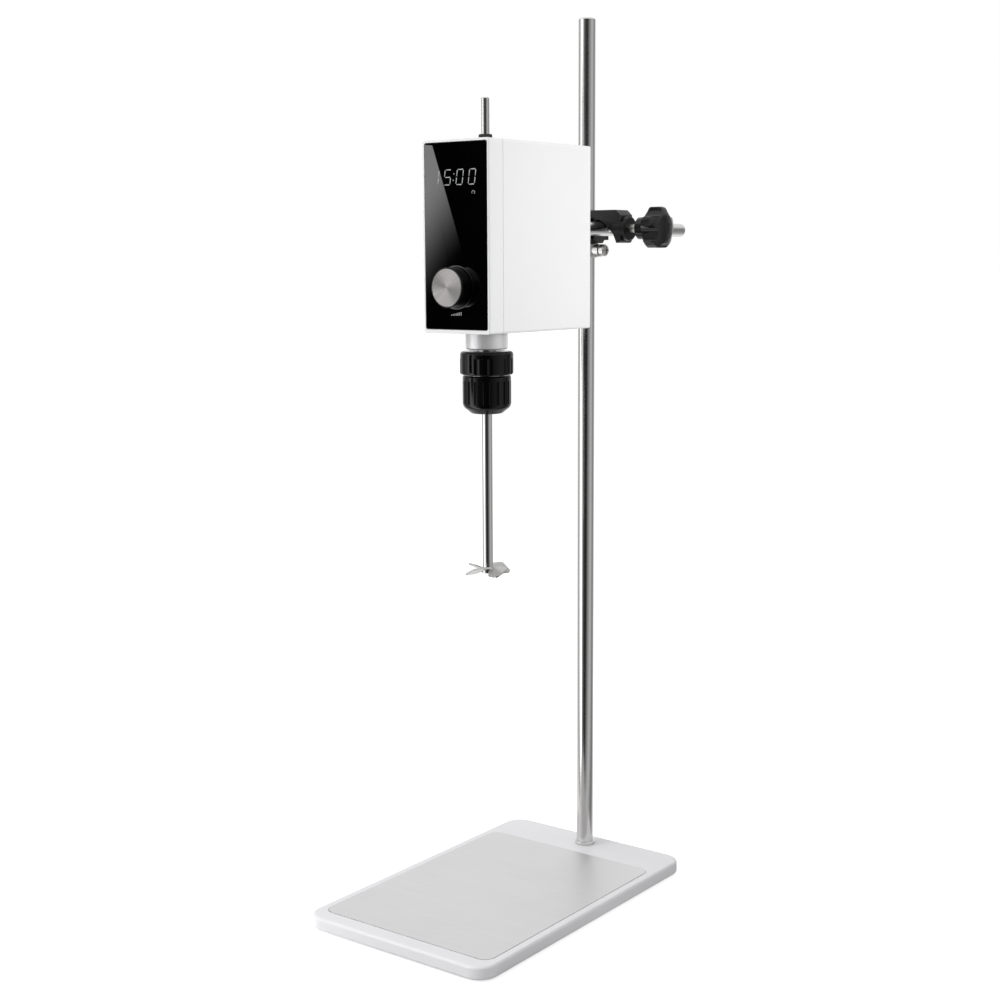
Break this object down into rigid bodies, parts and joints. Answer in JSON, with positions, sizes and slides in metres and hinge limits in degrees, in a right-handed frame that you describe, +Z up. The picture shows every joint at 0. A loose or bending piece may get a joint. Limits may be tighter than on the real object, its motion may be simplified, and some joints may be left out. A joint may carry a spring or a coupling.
{
  "type": "overhead stirrer",
  "caption": "Overhead stirrer: boxed drive head with a keyless chuck and bladed shaft, carried by a clamped arm on a rod and plate stand.",
  "frame": {"origin": "on the bench, under the middle of the base plate", "axes": "+Z up along the upright rod, front panel and work plate towards -Y, support arm to the rear along +Y"},
  "size_m": [0.2, 0.432, 0.8025],
  "materials": {
    "base_paint": "satin powder coat",
    "work_plate_steel": "fine satin",
    "foot_rubber": "matte",
    "rod_steel": "polished stainless",
    "zinc_steel": "bright zinc",
    "cast_black": "satin black coat",
    "knob_black": "semi-gloss moulded",
    "pad_brass": "turned",
    "casing_white": "smooth satin",
    "panel_glass": "black back-painted glass",
    "dark_plastic": "matte",
    "cast_aluminium": "as cast",
    "bearing_steel": "ground",
    "board_green": "solder mask",
    "turned_aluminium": "spun face",
    "chuck_black": "glossy moulded",
    "gear_brass": "hobbed"
  },
  "bodies": {
    "stand": {"base_plate": "base_paint", "work_plate": "work_plate_steel", "rubber_feet": "foot_rubber", "upright_rod": "rod_steel", "rod_foot_ring": "rod_steel", "rod_washer": "zinc_steel", "rod_nut": "zinc_steel"},
    "stop_collar": {"stop_collar": "zinc_steel", "collar_screw": "zinc_steel"},
    "boss_head": {"boss_head": "cast_black"},
    "arm_clamp_pad": {"arm_clamp_pad": "pad_brass"},
    "arm_clamp_screw": {"arm_clamp_stud": "zinc_steel", "arm_star_knob": "knob_black"},
    "rod_clamp_pad": {"rod_clamp_pad": "pad_brass"},
    "rod_clamp_screw": {"rod_clamp_stud": "zinc_steel", "rod_star_knob": "knob_black"},
    "support_arm": {"support_arm": "rod_steel", "arm_nut": "zinc_steel"},
    "head": {"arm_socket": "cast_aluminium", "socket_screws": "zinc_steel", "head_casing": "casing_white", "front_frame": "casing_white", "glass_panel": "panel_glass", "rear_cover": "casing_white", "cover_screws": "zinc_steel", "top_grommet": "dark_plastic", "chassis": "cast_aluminium", "chassis_screws": "zinc_steel", "spindle_housing": "casing_white", "bearing_outer_rings": "bearing_steel", "bearing_balls": "bearing_steel", "motor_can": "cast_aluminium", "motor_screws": "zinc_steel", "control_board": "board_green", "number_display": "dark_plastic", "encoder_body": "zinc_steel", "power_board": "board_green", "power_inlet": "dark_plastic", "inlet_pins": "zinc_steel", "switch_frame": "dark_plastic", "knob_trim_ring": "turned_aluminium"},
    "power_rocker": {"power_rocker": "dark_plastic"},
    "knob_drive": {"encoder_rotor": "dark_plastic"},
    "speed_knob": {"encoder_shaft": "zinc_steel", "speed_knob": "knob_black", "knob_face": "turned_aluminium"},
    "motor_rotor": {"motor_rotor": "bearing_steel", "pinion": "bearing_steel"},
    "spindle": {"spindle": "bearing_steel", "bearing_inner_rings": "bearing_steel", "spindle_gear": "gear_brass", "chuck_body": "bearing_steel", "chuck_grip_ring": "chuck_black"},
    "chuck_sleeve": {"chuck_sleeve": "chuck_black", "chuck_nut": "bearing_steel"},
    "jaw_1": {"chuck_jaw_1": "bearing_steel"},
    "jaw_2": {"chuck_jaw_2": "bearing_steel"},
    "jaw_3": {"chuck_jaw_3": "bearing_steel"},
    "stirring_shaft": {"stirring_shaft": "rod_steel", "propeller": "rod_steel"}
  },
  "joints": [
    {"name": "stand_height", "type": "slide", "parent": "stand", "child": "stop_collar", "axis": [0, 0, 1], "range_m": [-0.22, 0.17]},
    {"name": "boss_swivel", "type": "hinge", "parent": "stop_collar", "child": "boss_head", "pos_m": [0, 0.136, 0.6115], "axis": [0, 0, 1], "continuous": true},
    {"name": "arm_slide", "type": "slide", "parent": "boss_head", "child": "support_arm", "axis": [0, 1, 0], "range_m": [-0.11, 0.045]},
    {"name": "head_roll", "type": "hinge", "parent": "support_arm", "child": "head", "pos_m": [0.021, 0.063, 0.6115], "axis": [0, 1, 0], "range_deg": [-90, 90]},
    {"name": "arm_pad_travel", "type": "slide", "parent": "boss_head", "child": "arm_clamp_pad", "axis": [1, 0, 0], "range_m": [0, 0.005]},
    {"name": "arm_knob_turn", "type": "hinge", "parent": "arm_clamp_pad", "child": "arm_clamp_screw", "pos_m": [0.041, 0.136, 0.6115], "axis": [1, 0, 0], "range_deg": [0, 1440]},
    {"name": "rod_pad_travel", "type": "slide", "parent": "boss_head", "child": "rod_clamp_pad", "axis": [-1, 0, 0], "range_m": [0, 0.005]},
    {"name": "rod_knob_turn", "type": "hinge", "parent": "rod_clamp_pad", "child": "rod_clamp_screw", "pos_m": [-0.02, 0.136, 0.6115], "axis": [-1, 0, 0], "range_deg": [0, 1440]},
    {"name": "power_rocker_tilt", "type": "hinge", "parent": "head", "child": "power_rocker", "pos_m": [0.021, 0.0595, 0.5715], "axis": [0, 0, 1], "range_deg": [-16, 0]},
    {"name": "speed_knob_turn", "type": "hinge", "parent": "head", "child": "knob_drive", "pos_m": [0.021, -0.087, 0.5615], "axis": [0, 1, 0], "continuous": true},
    {"name": "speed_knob_push", "type": "slide", "parent": "knob_drive", "child": "speed_knob", "axis": [0, 1, 0], "range_m": [0, 0.0007], "stiffness_N_per_m": 3000, "springref_m": -0.0004},
    {"name": "spindle_spin", "type": "hinge", "parent": "head", "child": "spindle", "pos_m": [0.021, -0.046, 0.5235], "axis": [0, 0, 1], "continuous": true},
    {"name": "motor_spin", "type": "hinge", "parent": "head", "child": "motor_rotor", "pos_m": [0.021, -0.012, 0.5235], "axis": [0, 0, 1], "continuous": true},
    {"name": "chuck_turn", "type": "hinge", "parent": "spindle", "child": "chuck_sleeve", "pos_m": [0.021, -0.046, 0.5235], "axis": [0, 0, 1], "range_deg": [0, 720]},
    {"name": "jaw_1_travel", "type": "slide", "parent": "spindle", "child": "jaw_1", "axis": [0, 0.1736, 0.9848], "range_m": [0, 0.0045]},
    {"name": "jaw_2_travel", "type": "slide", "parent": "spindle", "child": "jaw_2", "axis": [-0.1504, -0.0868, 0.9848], "range_m": [0, 0.0045]},
    {"name": "jaw_3_travel", "type": "slide", "parent": "spindle", "child": "jaw_3", "axis": [0.1504, -0.0868, 0.9848], "range_m": [0, 0.0045]},
    {"name": "shaft_slide", "type": "slide", "parent": "spindle", "child": "stirring_shaft", "axis": [0, 0, 1], "range_m": [-0.06, 0.04]}
  ],
  "couplings": [
    {"joint": "arm_pad_travel", "follows": "arm_knob_turn", "m_per_rad": 0.00019894},
    {"joint": "rod_pad_travel", "follows": "rod_knob_turn", "m_per_rad": 0.00019894},
    {"joint": "motor_spin", "follows": "spindle_spin", "ratio": -3},
    {"joint": "jaw_1_travel", "follows": "chuck_turn", "m_per_rad": 0.000358},
    {"joint": "jaw_2_travel", "follows": "chuck_turn", "m_per_rad": 0.000358},
    {"joint": "jaw_3_travel", "follows": "chuck_turn", "m_per_rad": 0.000358}
  ]
}
